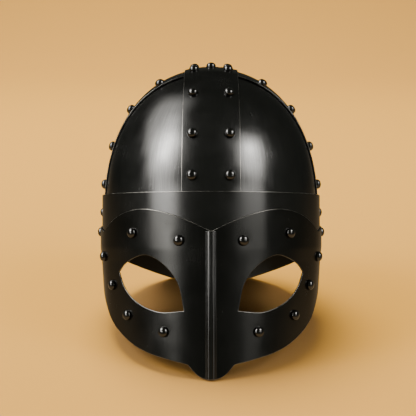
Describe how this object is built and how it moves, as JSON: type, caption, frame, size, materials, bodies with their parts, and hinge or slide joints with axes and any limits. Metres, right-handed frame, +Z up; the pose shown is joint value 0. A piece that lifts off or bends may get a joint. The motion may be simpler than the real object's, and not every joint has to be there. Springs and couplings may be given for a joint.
{
  "type": "spectacle helmet",
  "caption": "Blackened steel spectacle helmet with a strapped and riveted dome, brow band, nasal and cheek guards, resting on its nasal and nape.",
  "frame": {"origin": "centre of the footprint, on the surface that the helmet stands on", "axes": "+Z up, -Y to the face side, +X to the wearer's left; the helmet leans back on its nasal and nape"},
  "size_m": [0.216, 0.2858, 0.2345],
  "materials": {
    "blackened_plate": "satin blackened steel with fine brush lines",
    "blackened_strap": "satin blackened steel, edges worn bright",
    "black_rivet": "glossy black domed rivet heads"
  },
  "bodies": {
    "root": {"band_rivet_back": "black_rivet", "band_rivet_left": "black_rivet", "band_rivet_right": "black_rivet", "brow_band": "blackened_strap", "cross_strap": "blackened_strap", "cross_strap_rivet_left_1_back": "black_rivet", "cross_strap_rivet_left_1_front": "black_rivet", "cross_strap_rivet_left_2_back": "black_rivet", "cross_strap_rivet_left_2_front": "black_rivet", "cross_strap_rivet_left_3_back": "black_rivet", "cross_strap_rivet_left_3_front": "black_rivet", "cross_strap_rivet_left_4_back": "black_rivet", "cross_strap_rivet_left_4_front": "black_rivet", "cross_strap_rivet_right_1_back": "black_rivet", "cross_strap_rivet_right_1_front": "black_rivet", "cross_strap_rivet_right_2_back": "black_rivet", "cross_strap_rivet_right_2_front": "black_rivet", "cross_strap_rivet_right_3_back": "black_rivet", "cross_strap_rivet_right_3_front": "black_rivet", "cross_strap_rivet_right_4_back": "black_rivet", "cross_strap_rivet_right_4_front": "black_rivet", "crossing_rivet_back_left": "black_rivet", "crossing_rivet_back_right": "black_rivet", "crossing_rivet_front_left": "black_rivet", "crossing_rivet_front_right": "black_rivet", "crown_rivet": "black_rivet", "dome_plate_back_left": "blackened_plate", "dome_plate_back_right": "blackened_plate", "dome_plate_front_left": "blackened_plate", "dome_plate_front_right": "blackened_plate", "long_strap": "blackened_strap", "long_strap_rivet_back_1_left": "black_rivet", "long_strap_rivet_back_1_right": "black_rivet", "long_strap_rivet_back_2_left": "black_rivet", "long_strap_rivet_back_2_right": "black_rivet", "long_strap_rivet_back_3_left": "black_rivet", "long_strap_rivet_back_3_right": "black_rivet", "long_strap_rivet_front_1_left": "black_rivet", "long_strap_rivet_front_1_right": "black_rivet", "long_strap_rivet_front_2_left": "black_rivet", "long_strap_rivet_front_2_right": "black_rivet", "long_strap_rivet_front_3_left": "black_rivet", "long_strap_rivet_front_3_right": "black_rivet", "mask_rivet_brow_inner_left": "black_rivet", "mask_rivet_brow_inner_right": "black_rivet", "mask_rivet_brow_outer_left": "black_rivet", "mask_rivet_brow_outer_right": "black_rivet", "mask_rivet_cheek_inner_left": "black_rivet", "mask_rivet_cheek_inner_right": "black_rivet", "mask_rivet_cheek_lower_left": "black_rivet", "mask_rivet_cheek_lower_right": "black_rivet", "mask_rivet_cheek_upper_left": "black_rivet", "mask_rivet_cheek_upper_right": "black_rivet", "mask_rivet_ear_left": "black_rivet", "mask_rivet_ear_right": "black_rivet", "mask_rivet_temple_left": "black_rivet", "mask_rivet_temple_right": "black_rivet", "spectacle_mask": "blackened_strap"}
  },
  "joints": []
}
